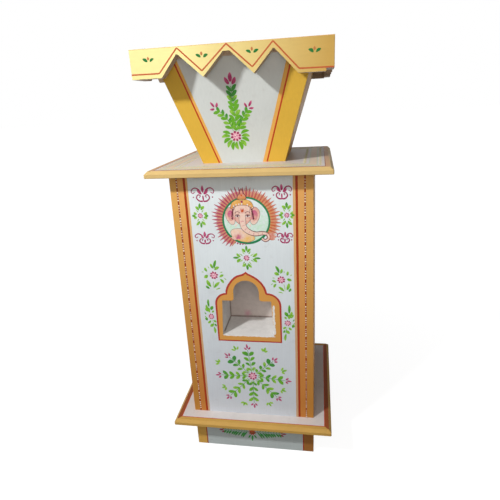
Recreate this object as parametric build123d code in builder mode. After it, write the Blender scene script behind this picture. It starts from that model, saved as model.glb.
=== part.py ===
from build123d import *
import math
import os

# A tulsi vrindavan: a square wooden pedestal planter. A low foot carries a base slab, a hollow
# column with an arched lamp niche, a top slab, and a pot that flares upwards to a rim with a
# toothed apron on all four sides. A sheet-metal liner for the soil lifts out of the pot.
# Millimetres, +Z up, front towards -Y, origin on the floor under the middle of the foot.

# ---------------------------------------------------------------- driving dimensions
board = 18.0  # thickness of foot, column, pot and side apron boards
edge_ease = 1.2  # easing of the sawn outer edges

foot_width = 382.0
foot_height = 117.0
foot_block_size = 25.0  # square section of the blocks glued into the foot's corners
foot_block_recess = 3.0  # the blocks stop short of the floor
foot_cleat_size = 22.0

slab_thickness = 18.0
slab_chamfer = 8.0
slab_corner_radius = 3.0
base_slab_overhang = 54.0  # beyond the column, on every side
top_slab_overhang = 49.0

column_width = 382.0
column_height = 764.0
batten_size = 25.0  # square section of the battens in the column's corners
column_cleat_size = 25.0

niche_sill_height = 285.0  # above the bottom of the column
niche_width = 154.0
niche_shoulder_height = 114.0  # sill to shoulder
niche_shoulder_radius = 6.0
niche_spring_height = 141.0  # sill to the springing of the arch
niche_arch_width = 74.0
niche_neck_radius = 8.0  # hollow corner between shoulder and arch
niche_depth = 117.0  # from the column's face to the back of the niche
niche_board = 12.0
niche_headroom = 4.0  # arch crown to ceiling

pot_foot_width = 228.0
pot_wall_height = 260.0
pot_wall_tilt = 16.9  # degrees from upright
pot_floor_thickness = 18.0

rim_thickness = 23.0  # the rim shows for 5 mm in the tops of the notches
apron_standoff = 25.5  # from the top of a pot side wall to the back of the side apron
apron_front_thickness = 27.0  # the front and back aprons are of thicker stock
apron_height = 68.0
apron_side_rise = 2.5  # the side aprons are cut narrower, from below
apron_end_length = 79.0  # plain stretch at each end of a side, before the first notch
apron_tooth_height = 50.0
apron_notch_count = 3
apron_notch_flat = 3.0  # width of the saw cut at the top of a notch
apron_broad_notch_flat = 15.0  # the front board's middle notch is cut broader
# how far the front board's hand-cut turning points stray, across and up, from left to right
apron_front_drift = (
    (-5.0, 3.0), (-16.0, 1.5), (-9.5, 0.0), (-4.5, 1.5), (4.0, 1.0), (-2.0, 0.0), (-0.5, -4.0))

liner_gauge = 1.2
liner_side_clearance = 4.0  # to the pot walls and to the rim
liner_floor_clearance = 3.0  # to the screw heads on the pot floor
liner_seat_clearance = 0.3  # under the flange that hangs on the rim
liner_flange = 12.0

screw_radius = 2.0
screw_head_radius = 4.0
screw_head_height = 2.4
screw_bite = 10.0  # into the slab that the screw holds
screw_clearance = 0.15  # round shank and head
screw_tip_gap = 1.0
foot_screw_spacing = 120.0
column_screw_spacing = 220.0
top_slab_screw_spacing = 120.0
pot_screw_spacing = 120.0

# ---------------------------------------------------------------- levels and widths worked out
column_bottom = foot_height + slab_thickness
column_top = column_bottom + column_height
pot_bottom = column_top + slab_thickness
rim_bottom = pot_bottom + pot_wall_height
rim_top = rim_bottom + rim_thickness

pot_flare = math.tan(math.radians(pot_wall_tilt))  # outward run per unit of height
pot_wall_run = board / math.cos(math.radians(pot_wall_tilt))  # wall thickness measured level
pot_mouth_half = pot_foot_width / 2 + pot_flare * pot_wall_height  # outer faces, under the rim
rim_opening_half = pot_mouth_half - pot_wall_run
apron_width = 2 * (pot_mouth_half + apron_standoff + board)

outward = {"front": (0, -1), "right": (1, 0), "back": (0, 1), "left": (-1, 0)}
lapping = ("front", "back")  # sides whose boards cover the ends of the other two
hands = {"left": -1, "right": 1}
ends = {"front": -1, "back": 1}

os.makedirs("parts", exist_ok=True)


def upright(side, distance, height):
    """Plane of a vertical face that looks outwards, with its X along the face and its Y up."""
    dx, dy = outward[side]
    return Plane(origin=(dx * distance, dy * distance, height), x_dir=(-dy, dx, 0), z_dir=(dx, dy, 0))


def level(side, height):
    """Level plane turned so that its -Y points outwards at that side."""
    dx, dy = outward[side]
    return Plane(origin=(0, 0, height), x_dir=(-dy, dx, 0), z_dir=(0, 0, 1))


def across(side):
    """Upright plane square to a side, with its X pointing outwards and its Y up."""
    dx, dy = outward[side]
    return Plane(origin=(0, 0, 0), x_dir=(dx, dy, 0), z_dir=(dy, -dx, 0))


def outer_corners(board_part, side, least_rise):
    """The two rising edges at the ends of a board's outward face."""
    rising = board_part.edges().filter_by(lambda edge: abs((edge @ 1 - edge @ 0).Z) > least_rise)
    return rising.sort_by(Axis((0, 0, 0), (*outward[side], 0)))[-2:]


def keep(builder, name):
    builder.part.label = name
    export_step(builder.part, f"parts/{name}.step")


# ---------------------------------------------------------------- pieces that repeat
def box_boards(prefix, suffix, sides, lapping_sides, width, bottom, height):
    """Boards round a square box. The lapping ones run full width and cover the others' ends."""
    for side in sides:
        laps = side in lapping_sides
        length = width if laps else width - 2 * board
        with BuildPart() as box_board:
            with BuildSketch(upright(side, width / 2, bottom)):
                Rectangle(length, height, align=(Align.CENTER, Align.MIN))
            extrude(amount=-board)
            if laps:
                fillet(outer_corners(box_board, side, height / 2), edge_ease)
        keep(box_board, f"{prefix}_{side}_{suffix}")


def corner_posts(prefix, box_width, size, bottom, height):
    """Square posts glued into the four inner corners of a box."""
    middle = box_width / 2 - board - size / 2
    for end, end_sign in ends.items():
        for hand, hand_sign in hands.items():
            with BuildPart() as post:
                with BuildSketch(Plane.XY.offset(bottom)):
                    with Locations((hand_sign * middle, end_sign * middle)):
                        Rectangle(size, size)
                extrude(amount=height)
            keep(post, f"{prefix}_{end}_{hand}")


def screw_places(half_x, spacing, height, head_up):
    """Two places on each side of the middle plane, with local Z pointing out of the screw's head."""
    turn = (0, 0, 0) if head_up else (180, 0, 0)
    return [Location((x, y, height), turn) for x in (-half_x, half_x) for y in (-spacing / 2, spacing / 2)]


def screw_holes(places, depth):
    """Round holes for the shanks, drilled in the direction of the screws."""
    with Locations(*places):
        Hole(radius=screw_radius + screw_clearance, depth=depth)


def screws(name, places, length):
    """Equal screws with their heads on the surface, one solid each, in one group."""
    with BuildPart() as screw:
        with BuildSketch(Plane.XY):
            Circle(screw_head_radius)
        extrude(amount=screw_head_height)
        with BuildSketch(Plane.XY):
            Circle(screw_radius)
        extrude(amount=-length)
    with BuildPart() as group:
        with Locations(*places):
            add(screw.part)
    keep(group, name)


def cleats(prefix, box_width, size, length, bottom, screw_spacing, head_up):
    """Left and right cleats inside a box, and the screws that hold a slab to them."""
    middle = box_width / 2 - board - size / 2
    head_level = bottom + size if head_up else bottom
    for hand, hand_sign in hands.items():
        with BuildPart() as cleat:
            with BuildSketch(Plane.XY.offset(bottom)):
                with Locations((hand_sign * middle, 0)):
                    Rectangle(size, length)
            extrude(amount=size)
            places = screw_places(middle, screw_spacing, head_level, head_up)
            screw_holes([place for place in places if place.position.X * hand_sign > 0], size)
        keep(cleat, f"{prefix}_cleat_{hand}")
    screws(f"{prefix}_screws", screw_places(middle, screw_spacing, head_level, head_up), size + screw_bite)
    return middle


def pot_inside_width(height):
    """Clear width between the pot walls at a level."""
    return pot_foot_width + 2 * (pot_flare * (height - pot_bottom) - pot_wall_run)


def flared_block(bottom, top, bottom_width, top_width):
    """Square block with flat faces that widens upwards."""
    with BuildPart() as block:
        for plane, mode in ((Plane.XZ, Mode.ADD), (Plane.YZ, Mode.INTERSECT)):
            with BuildSketch(plane):
                with BuildLine():
                    Polyline(
                        (-bottom_width / 2, bottom),
                        (bottom_width / 2, bottom),
                        (top_width / 2, top),
                        (-top_width / 2, top),
                        close=True,
                    )
                make_face()
            extrude(amount=top_width / 2, both=True, mode=mode)
    return block.part


# ---------------------------------------------------------------- foot
box_boards("foot", "board", outward, lapping, foot_width, 0, foot_height)
corner_posts("foot_block", foot_width, foot_block_size, foot_block_recess, foot_height - foot_block_recess)
foot_cleat_length = foot_width - 2 * (board + foot_block_size)
foot_cleat_bottom = foot_height - foot_cleat_size
foot_screw_x = cleats(
    "foot", foot_width, foot_cleat_size, foot_cleat_length, foot_cleat_bottom,
    foot_screw_spacing, head_up=False)

# ---------------------------------------------------------------- column
# The side panels run the full depth and cover the edges of the front and back panels.
box_boards("column", "panel", ("left", "right", "back"), ("left", "right"), column_width, column_bottom,
           column_height)

with BuildPart() as column_front_panel:
    front = upright("front", column_width / 2, column_bottom)
    with BuildSketch(front):
        Rectangle(column_width - 2 * board, column_height, align=(Align.CENTER, Align.MIN))
    extrude(amount=-board)
    sill = niche_sill_height
    shoulder = sill + niche_shoulder_height
    spring = sill + niche_spring_height
    jamb = niche_width / 2
    neck = niche_arch_width / 2
    with BuildSketch(front) as niche_opening:
        with BuildLine():
            Polyline((-neck, spring), (-neck, shoulder), (-jamb, shoulder), (-jamb, sill), (jamb, sill),
                     (jamb, shoulder), (neck, shoulder), (neck, spring))
            ThreePointArc((neck, spring), (0, spring + neck), (-neck, spring))
        make_face()
        corners = niche_opening.vertices().group_by(Axis.Y)[1].sort_by(Axis.X)
        fillet([corners[0], corners[-1]], niche_shoulder_radius)
        necks = niche_opening.vertices().filter_by_position(Axis.X, -neck, neck).group_by(Axis.Y)[0]
        fillet(necks, niche_neck_radius)
    extrude(amount=-board, mode=Mode.SUBTRACT)
keep(column_front_panel, "column_front_panel")

corner_posts("column_batten", column_width, batten_size, column_bottom, column_height)
column_cleat_length = column_width - 2 * (board + batten_size)
column_screw_x = cleats(
    "column_bottom", column_width, column_cleat_size, column_cleat_length, column_bottom,
    column_screw_spacing, head_up=True)
column_cleat_bottom = column_top - column_cleat_size
cleats(
    "column_top", column_width, column_cleat_size, column_cleat_length, column_cleat_bottom,
    top_slab_screw_spacing, head_up=False)

# ---------------------------------------------------------------- slabs under and over the column
for name, overhang, bottom, screws_from_below, screws_from_above in (
    (
        "base_slab", base_slab_overhang, foot_height,
        screw_places(foot_screw_x, foot_screw_spacing, foot_height, head_up=False),
        screw_places(column_screw_x, column_screw_spacing, column_bottom, head_up=True),
    ),
    (
        "top_slab", top_slab_overhang, column_top,
        screw_places(column_screw_x, top_slab_screw_spacing, column_top, head_up=False),
        screw_places(pot_screw_spacing / 2, pot_screw_spacing, pot_bottom, head_up=True),
    ),
):
    width = column_width + 2 * overhang
    chamfer_bottom = bottom + slab_thickness - slab_chamfer
    with BuildPart() as slab:
        with BuildSketch(Plane.XY.offset(bottom)):
            RectangleRounded(width, width, slab_corner_radius)
        extrude(amount=slab_thickness - slab_chamfer)
        for inset in (0, slab_chamfer):
            with BuildSketch(Plane.XY.offset(chamfer_bottom + inset)):
                RectangleRounded(width - 2 * inset, width - 2 * inset, slab_corner_radius)
        loft(ruled=True)
        chamfer(slab.faces().sort_by(Axis.Z)[0].edges(), edge_ease)
        screw_holes(screws_from_below, screw_bite + screw_tip_gap)
        screw_holes(screws_from_above, screw_bite + screw_tip_gap)
    keep(slab, name)

# ---------------------------------------------------------------- niche box behind the opening
niche_front = -column_width / 2 + board
niche_back = -column_width / 2 + niche_depth
niche_box_depth = niche_back - niche_front
niche_middle = (niche_front + niche_back) / 2
niche_floor_level = column_bottom + niche_sill_height
niche_ceiling_level = niche_floor_level + niche_spring_height + niche_arch_width / 2 + niche_headroom
niche_box_bottom = niche_floor_level - niche_board
niche_box_height = niche_ceiling_level + niche_board - niche_box_bottom
cheek_middle = (niche_width + niche_board) / 2

for name, x, y, length, depth, bottom, height in (
    ("niche_floor", 0, niche_middle, niche_width, niche_box_depth, niche_box_bottom, niche_board),
    ("niche_ceiling", 0, niche_middle, niche_width, niche_box_depth, niche_ceiling_level, niche_board),
    ("niche_cheek_left", -cheek_middle, niche_middle, niche_board, niche_box_depth,
     niche_box_bottom, niche_box_height),
    ("niche_cheek_right", cheek_middle, niche_middle, niche_board, niche_box_depth,
     niche_box_bottom, niche_box_height),
    ("niche_back_board", 0, niche_back + niche_board / 2, niche_width + 2 * niche_board, niche_board,
     niche_box_bottom, niche_box_height),
):
    with BuildPart() as niche_piece:
        with BuildSketch(Plane.XY.offset(bottom)):
            with Locations((x, y)):
                Rectangle(length, depth)
        extrude(amount=height)
    keep(niche_piece, name)

# ---------------------------------------------------------------- pot
# Each wall is a tapering board that leans outwards, with its upper and lower edges bevelled level.
pot_foot_half = pot_foot_width / 2
for side in outward:
    lap = 0 if side in lapping else pot_wall_run
    with BuildPart() as pot_wall:
        with BuildSketch(across(side)):
            with BuildLine():
                Polyline(
                    (pot_foot_half - pot_wall_run, pot_bottom),
                    (pot_foot_half, pot_bottom),
                    (pot_mouth_half, rim_bottom),
                    (rim_opening_half, rim_bottom),
                    close=True,
                )
            make_face()
        extrude(amount=pot_mouth_half, both=True)
        with BuildSketch(upright(side, 0, 0)):
            with BuildLine():
                Polyline(
                    (lap - pot_foot_half, pot_bottom),
                    (pot_foot_half - lap, pot_bottom),
                    (pot_mouth_half - lap, rim_bottom),
                    (lap - pot_mouth_half, rim_bottom),
                    close=True,
                )
            make_face()
        extrude(amount=pot_mouth_half, mode=Mode.INTERSECT)
        if side in lapping:
            fillet(outer_corners(pot_wall, side, pot_wall_height / 2), edge_ease)
    keep(pot_wall, f"pot_{side}_wall")

pot_floor_top = pot_bottom + pot_floor_thickness
pot_screw_heads = screw_places(pot_screw_spacing / 2, pot_screw_spacing, pot_floor_top, head_up=True)
floor_block = flared_block(
    pot_bottom, pot_floor_top, pot_inside_width(pot_bottom), pot_inside_width(pot_floor_top))
with BuildPart() as pot_floor:
    add(floor_block)
    screw_holes(pot_screw_heads, pot_floor_thickness)
keep(pot_floor, "pot_floor")
screws("pot_screws", pot_screw_heads, pot_floor_thickness + screw_bite)

# ---------------------------------------------------------------- rim and apron
# The side aprons run the full depth; the front and back ones fit between them.
rim_half_width = apron_width / 2 - board
rim_half_depth = apron_width / 2 - apron_front_thickness
for side in outward:
    reach, span = (rim_half_width, rim_half_depth)[:: -1 if side in lapping else 1]
    with BuildPart() as rim_rail:
        with BuildSketch(level(side, rim_bottom)):
            with BuildLine():
                Polyline(
                    (-span, -reach),
                    (span, -reach),
                    (rim_opening_half, -rim_opening_half),
                    (-rim_opening_half, -rim_opening_half),
                    close=True,
                )
            make_face()
        extrude(amount=rim_thickness)
    keep(rim_rail, f"rim_{side}_rail")


def toothed_outline(length, rise, middle_flat, drift):
    """Points of an apron board: plain ends, and notches between them that leave pointed teeth."""
    first = apron_end_length - apron_width / 2
    half_pitch = -first / apron_notch_count
    turns = []
    for turn in range(2 * apron_notch_count + 1):
        stray = drift[turn] if turn < len(drift) else (0, 0)
        is_apex = turn % 2 == 1
        height = apron_tooth_height if is_apex else rise
        turns.append((first + turn * half_pitch + stray[0], height + stray[1], is_apex))
    points = [(-length / 2, apron_height), (-length / 2, turns[0][1])]
    for turn, (x, height, is_apex) in enumerate(turns):
        half_flat = (middle_flat if turn == apron_notch_count else apron_notch_flat) / 2
        points += [(x - half_flat, height), (x + half_flat, height)] if is_apex else [(x, height)]
    return points + [(length / 2, turns[-1][1]), (length / 2, apron_height)]


for side in outward:
    fits_between = side in lapping
    length = apron_width - 2 * board if fits_between else apron_width
    rise = 0 if fits_between else apron_side_rise
    middle_flat = apron_broad_notch_flat if side == "front" else apron_notch_flat
    drift = apron_front_drift if side == "front" else ()
    with BuildPart() as apron_board:
        with BuildSketch(upright(side, apron_width / 2, rim_top - apron_height)):
            with BuildLine():
                Polyline(*toothed_outline(length, rise, middle_flat, drift), close=True)
            make_face()
        extrude(amount=-apron_front_thickness if fits_between else -board)
        if not fits_between:
            fillet(outer_corners(apron_board, side, apron_tooth_height), edge_ease)
    keep(apron_board, f"apron_{side}_board")

# ---------------------------------------------------------------- lift-out liner
liner_bottom = pot_floor_top + screw_head_height + liner_floor_clearance
liner_top = rim_top + liner_seat_clearance + liner_gauge
liner_mouth = 2 * (rim_opening_half - liner_side_clearance)
liner_base = pot_inside_width(liner_bottom) - 2 * liner_side_clearance
flange_width = 2 * (rim_opening_half + liner_flange)

# Folded from sheet, with soldered corners and a flange that hangs on the rim.
liner_outside = flared_block(liner_bottom, liner_top, liner_base, liner_mouth)
liner_inside = flared_block(
    liner_bottom + liner_gauge, liner_top, liner_base - 2 * liner_gauge, liner_mouth - 2 * liner_gauge)
with BuildPart() as soil_liner:
    add(liner_outside)
    with BuildSketch(Plane.XY.offset(liner_top)):
        Rectangle(flange_width, flange_width)
    extrude(amount=-liner_gauge)
    add(liner_inside, mode=Mode.SUBTRACT)
keep(soil_liner, "soil_liner")
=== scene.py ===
import math
import random

import bpy
from mathutils import Matrix, Vector
from mathutils.geometry import tessellate_polygon


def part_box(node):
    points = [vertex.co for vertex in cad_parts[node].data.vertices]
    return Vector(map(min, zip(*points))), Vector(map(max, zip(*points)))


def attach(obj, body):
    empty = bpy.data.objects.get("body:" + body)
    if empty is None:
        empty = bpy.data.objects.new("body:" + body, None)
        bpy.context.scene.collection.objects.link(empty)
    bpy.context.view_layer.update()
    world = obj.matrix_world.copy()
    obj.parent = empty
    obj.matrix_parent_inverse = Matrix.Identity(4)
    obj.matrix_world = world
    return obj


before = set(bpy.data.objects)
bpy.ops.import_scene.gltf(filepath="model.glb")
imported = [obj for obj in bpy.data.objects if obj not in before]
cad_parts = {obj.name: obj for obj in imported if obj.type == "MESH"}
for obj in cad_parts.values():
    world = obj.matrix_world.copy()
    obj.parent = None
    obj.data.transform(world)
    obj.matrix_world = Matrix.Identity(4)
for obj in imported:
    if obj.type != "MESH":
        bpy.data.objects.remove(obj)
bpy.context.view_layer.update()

mm = 0.001
sides = {"front": 0, "right": 90, "back": 180, "left": 270}     # degrees about the upright axis

paints = {
    # darker copies among these paints are painted shade: low on the column and its sides, on the foot, on the
    # right of the apron, and partly on the base's side borders
    "panelWhite": "#E4EDEF", "panelWhiteShaded": "#D2D8DF", "potWhite": "#D4D9D6", "footWhiteShaded": "#C4CDCC",
    "slabWhite": "#D9D2CF", "nicheWhite": "#E6E4E1", "nicheShaded": "#CDC1BA", "brushWhite": "#EAE8E3",
    "outerGold": "#E1AC5F", "outerGoldShaded": "#BE823A", "innerOrange": "#E7AC63", "innerOrangeShaded": "#C6803D",
    "peach": "#E2B274", "peachShaded": "#CBA47F", "sideGold": "#DCA65C", "sideGoldShaded": "#BC8038",
    "potGold": "#E1B647", "potOrange": "#EBB35A", "footGold": "#E0AF57", "footGoldShaded": "#A66E35",
    "baseGold": "#C99F52", "edgeGold": "#D2B376", "brownBorderAndShade": "#97512E", "borderTan": "#CD9F72",
    "bandPeach": "#E3CDB4", "bandOchre": "#D69A4C", "paleYellow": "#EFE09A", "shadedYellow": "#C7A154",
    "dabCream": "#F8E4C6", "maroon": "#8E2F14", "red": "#BC3F1D", "redLight": "#CF5A2A",
    "columnRed": "#A03404", "nicheRed": "#AE362E", "apronRed": "#B65A2C", "budOrange": "#B8733F",
    "leafDark": "#3D8B35", "leaf": "#66AB2A", "leafLight": "#94C748", "leafPale": "#B9D78C",
    "leafDeep": "#2E8A3E", "leafBottle": "#146B26", "crimson": "#9C2458", "rose": "#C85C86",
    "pink": "#F0B4C6", "mint": "#C3E6CB", "ringGreen": "#1B7C4E", "flesh": "#F0D2C2",
    "fleshDeep": "#DFA596", "headdress": "#D98F4B", "headdressLight": "#EDBE6B", "line": "#6C363C",
    "curls": "#5E1A30", "rayCrimson": "#AC3152", "rayOrange": "#C65D36", "sooty": "#6B5244",
    "fibreboard": "#8C6B4B", "sawnEdge": "#C4AC93",
}


def rgba(name):
    # a named paint as the linear values that sockets take
    channels = [int(paints[name][i:i + 2], 16) / 255 for i in (1, 3, 5)]
    return [c / 12.92 if c <= 0.04045 else ((c + 0.055) / 1.055) ** 2.4 for c in channels] + [1.0]


class Wire:
    # a node's output; plain arithmetic on it adds Math nodes
    def __init__(self, recipe, socket):
        self.recipe = recipe
        self.socket = socket

    def __rsub__(self, other):
        return self.recipe.calc("SUBTRACT", other, self)

    def __abs__(self):
        return self.recipe.calc("ABSOLUTE", self)


def arithmetic(operation):
    return lambda self, other: self.recipe.calc(operation, self, other)


for sign, operation in {
        "add": "ADD", "sub": "SUBTRACT", "mul": "MULTIPLY", "truediv": "DIVIDE", "mod": "MODULO",
        "pow": "POWER", "lt": "LESS_THAN", "gt": "GREATER_THAN"}.items():
    setattr(Wire, "__" + sign + "__", arithmetic(operation))


class Recipe:
    # adds nodes to a material or geometry tree; an input is a plain value or another node's wire
    def __init__(self, tree):
        self.tree = tree

    def make(self, kind, inputs=None, **settings):
        node = self.tree.nodes.new(kind)
        for name, value in settings.items():
            setattr(node, name, value)
        for key, value in (inputs or {}).items():
            if isinstance(value, Wire):
                self.tree.links.new(value.socket, node.inputs[key])
            else:
                node.inputs[key].default_value = value
        return node

    def node(self, kind, inputs=None, out=0, **settings):
        return Wire(self, self.make(kind, inputs, **settings).outputs[out])

    def calc(self, operation, *values):
        return self.node("ShaderNodeMath", dict(enumerate(values)), operation=operation)

    def vector(self, operation, *values, out=0):
        return self.node("ShaderNodeVectorMath", dict(enumerate(values)), out, operation=operation)

    def scaled(self, vector, factor):
        return self.node("ShaderNodeVectorMath", {0: vector, "Scale": factor}, operation="SCALE")

    def split(self, vector):
        return [Wire(self, socket) for socket in self.make("ShaderNodeSeparateXYZ", {0: vector}).outputs]

    def join(self, x, y, z):
        return self.node("ShaderNodeCombineXYZ", {0: x, 1: y, 2: z})

    def noise(self, vector, scale, detail=2.0, roughness=0.5):
        inputs = {"Vector": vector, "Scale": scale, "Detail": detail, "Roughness": roughness}
        return self.node("ShaderNodeTexNoise", inputs)

    def mix(self, factor, a, b):
        # a Mix node's sockets 6 and 7 are its colours, and its output 2 is their mixture
        return self.node("ShaderNodeMix", {0: factor, 6: a, 7: b}, 2, data_type="RGBA")

    def remap(self, value, low, high, newLow=0.0, newHigh=1.0):
        inputs = {0: value, 1: low, 2: high, 3: newLow, 4: newHigh}
        return self.node("ShaderNodeMapRange", inputs, clamp=True)

    def spread(self, noise, low, high):
        # a noise is mostly between 0.3 and 0.7
        return self.remap(noise, 0.3, 0.7, low, high)

    def bands(self, distance, stops):
        # stops are (where a colour starts, in millimetres, and its name); distance is in metres
        reach = stops[-1][0] * mm * 1.25
        ramp = self.make("ShaderNodeValToRGB", {0: self.remap(distance, 0.0, reach)})
        ramp.color_ramp.interpolation = "CONSTANT"
        elements = ramp.color_ramp.elements
        elements.remove(elements[-1])
        elements[0].position = 0.0
        elements[0].color = rgba(stops[0][1])
        for start, name in stops[1:]:
            elements.new(start * mm / reach).color = rgba(name)
        return Wire(self, ramp.outputs[0])

    def attribute(self, name, kind="FLOAT"):
        return self.node("GeometryNodeInputNamedAttribute", {"Name": name}, data_type=kind)

    def stored(self, geometry, name, value, kind="FLOAT"):
        inputs = {"Geometry": geometry, "Name": name, "Value": value}
        return self.node("GeometryNodeStoreNamedAttribute", inputs, data_type=kind, domain="POINT")

    def moved(self, geometry, position):
        return self.node("GeometryNodeSetPosition", {"Geometry": geometry, "Position": position})


# materials
def newMaterial(name):
    material = bpy.data.materials.new(name)
    material.use_nodes = True
    material.node_tree.nodes.clear()
    recipe = Recipe(material.node_tree)
    return material, recipe, recipe.node("ShaderNodeTexCoord", out="Object")


def surfaceNormal(recipe):
    return recipe.node("ShaderNodeTexCoord", out="Normal")


def coat(recipe, colour, roughness, relief=None, depth=0.0, metallic=0.0, specular=0.5):
    inputs = {
        "Base Color": colour, "Roughness": roughness, "Metallic": metallic, "Specular IOR Level": specular}
    if relief is not None:
        bump = {"Height": relief, "Distance": depth, "Strength": 1.0}
        inputs["Normal"] = recipe.node("ShaderNodeBump", bump)
    recipe.make("ShaderNodeOutputMaterial", {0: recipe.node("ShaderNodeBsdfPrincipled", inputs)})


enamelLook = {
    "mottleScale": 9.0,
    "fineScale": 900.0,
    "spotScale": 38.0,
    "depth": 0.00014,
    "specular": 0.1,
}


def enamel(recipe, colour, place, roughness=0.46, streak=(240, 240, 14), grime=0.1):
    # hand-brushed enamel: streaks, uneven gloss, slight mottling and a few soiled spots
    look = enamelLook
    streaks = recipe.noise(recipe.vector("MULTIPLY", place, streak), 1.0, 3.0)
    mottle = recipe.noise(place, look["mottleScale"], 3.0)
    fine = recipe.noise(place, look["fineScale"])
    shade = recipe.spread(mottle, 0.955, 1.02) + recipe.spread(streaks, -0.02, 0.02)
    spots = recipe.remap(recipe.noise(place, look["spotScale"], 5.0, 0.65), 0.58, 0.76, 0.0, grime)
    soiled = recipe.mix(spots, recipe.scaled(colour, shade), rgba("sooty"))
    gloss = recipe.remap(mottle + streaks, 0.7, 1.3, roughness - 0.06, roughness + 0.09)
    coat(recipe, soiled, gloss, streaks * 0.8 + fine * 0.2, look["depth"], specular=look["specular"])


def boardGrain(recipe, place, paint):
    # bare fibreboard: felted fibres, darker flecks
    fibre = recipe.noise(recipe.vector("MULTIPLY", place, (500, 500, 160)), 1.0, 4.0)
    fleck = recipe.remap(recipe.noise(place, 420.0, 3.0), 0.56, 0.7, 0.0, 0.5)
    base = recipe.scaled(rgba(paint)[:3], recipe.spread(fibre, 0.8, 1.12))
    return recipe.mix(fleck, base, rgba("sooty"))


def wobbled(recipe, value, place, size=0.0007, scale=55.0):
    return (recipe.noise(place, scale) - 0.5) * (2 * size) + value


def acrossFace(recipe, place):
    # distance along an upright face from its middle line, rightwards as seen from outside
    x, y, _ = recipe.split(place)
    onY = x * recipe.calc("SIGN", y) * -1.0
    onX = y * recipe.calc("SIGN", x)
    return (onY - onX) * (abs(y) > abs(x)) + onX


def outwardness(recipe, place):
    # cosine between a face's normal and the level direction away from the upright axis
    level = recipe.vector("NORMALIZE", recipe.vector("MULTIPLY", place, (1, 1, 0)))
    return recipe.vector("DOT_PRODUCT", surfaceNormal(recipe), level, out="Value")


columnBands = {
    "rightStretch": 1.07,           # how many times as wide the right-hand bands are
    "stops": [(0, "outerGold"), (19, "innerOrange"), (41, "peach"), (50, "panelWhite")],
    # painted shade: darker copies of the colours for low down, as the light falls off towards the bottom
    "shadedLowStops": [(0, "outerGoldShaded"), (19, "innerOrangeShaded"), (41, "peachShaded"), (50, "panelWhiteShaded")],
    "shadeHeights": (0.2, 0.85),            # heights between which the painted shade low down gives way to the lit colours
    "plain": {"stops": "sideGold", "shadedLowStops": "sideGoldShaded"},
}
potBands = {
    "rightStretch": 1.09,
    "stops": [(0, "potGold"), (45, "potOrange"), (55.5, "potWhite")],
    "plain": {"stops": "sideGold"},
}
# painted shade: the foot's white is darker than the panels above, and its right-hand band is a darker brown
# where shade falls on it
footBands = {
    "rightStretch": 1.0,
    "stops": [(0, "footGold"), (32, "footWhiteShaded")],
    "shadedRightStops": [(0, "footGoldShaded"), (32, "footWhiteShaded")],
    "plain": {"stops": "sideGoldShaded", "shadedRightStops": "sideGoldShaded"},
}


def plainField(look):
    # the same bands round a plain field, as on every face but the front
    plain = {}
    for key, paint in look["plain"].items():
        *border, (start, _) = look[key]
        plain[key] = [*border, (start, paint)]
    return look | plain


def edgeBands(recipe, place, half, look):
    # colours by the distance from a face's rising edges
    across = acrossFace(recipe, place)
    isRight = across > 0.0
    stretch = isRight * (look["rightStretch"] - 1) + 1.0
    fromEdge = wobbled(recipe, (half - abs(across)) / stretch, place)
    colour = recipe.bands(fromEdge, look["stops"])
    # painted shade: a look may give a darker right-hand band
    if "shadedRightStops" in look:
        colour = recipe.mix(isRight, colour, recipe.bands(fromEdge, look["shadedRightStops"]))
    # painted shade: lower down, the bands turn to their darker copies
    if "shadedLowStops" in look:
        height = recipe.remap(recipe.split(place)[2], *look["shadeHeights"])
        colour = recipe.mix(height, recipe.bands(fromEdge, look["shadedLowStops"]), colour)
    return colour


def facePaint(name, half, look, grime=0.1, isPierced=False):
    # the sawn edges of a pierced panel are brushed white like the niche behind it
    material, recipe, place = newMaterial(name)
    colour = edgeBands(recipe, place, half, look)
    if isPierced:
        facing = abs(recipe.split(surfaceNormal(recipe))[1])
        colour = recipe.mix(facing < 0.9, colour, rgba("nicheWhite"))
    enamel(recipe, colour, place, grime=grime)
    return material


def potPaint(name, look):
    # painted outside and bare inside; the walls widen upwards
    material, recipe, place = newMaterial(name)
    half = (recipe.split(place)[2] - pot["bottom"]) * pot["flare"] + pot["footHalf"]
    painted = edgeBands(recipe, place, half, look)
    isOutside = outwardness(recipe, place) > 0.0
    enamel(recipe, recipe.mix(isOutside, boardGrain(recipe, place, "fibreboard"), painted), place)
    return material


def slabPaint(name):
    material, recipe, place = newMaterial(name + "Paint")
    stops = slabs[name]["stops"]
    x, y, _ = recipe.split(place)
    awayX, awayY = abs(x), abs(y)
    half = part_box(name + "_slab")[1].x
    fromEdge = wobbled(recipe, half - recipe.calc("MAXIMUM", awayX, awayY), place, 0.0004)
    # the left and right borders take their own stops; on the base these are partly painted shade
    top = recipe.mix(awayX > awayY, *(recipe.bands(fromEdge, border) for border in stops))
    facesUp = recipe.split(surfaceNormal(recipe))[2] > 0.9
    enamel(recipe, recipe.mix(facesUp, rgba(stops[0][0][1]), top), place, streak=(60, 60, 90), grime=0.15)
    return material


def apronPaint(name, isRim=False):
    # the apron is painted on its face and top, and the rim on its top alone
    material, recipe, place = newMaterial(name)
    # painted light: the yellow is paler at the left, nearer the lamp, and a shaded deeper yellow to the right
    shadeToRight = recipe.remap(recipe.split(place)[0], -0.10, 0.225)
    yellow = recipe.mix(shadeToRight, rgba("paleYellow"), rgba("shadedYellow"))
    up = recipe.split(surfaceNormal(recipe))[2]
    exposed = up if isRim else recipe.calc("MAXIMUM", outwardness(recipe, place), up)
    ragged = (recipe.noise(place, 120.0, 3.0) - 0.5) * 0.5 + 0.45
    colour = recipe.mix(exposed > ragged, boardGrain(recipe, place, "sawnEdge"), yellow)
    enamel(recipe, colour, place, streak=(40, 40, 260))
    return material


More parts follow.
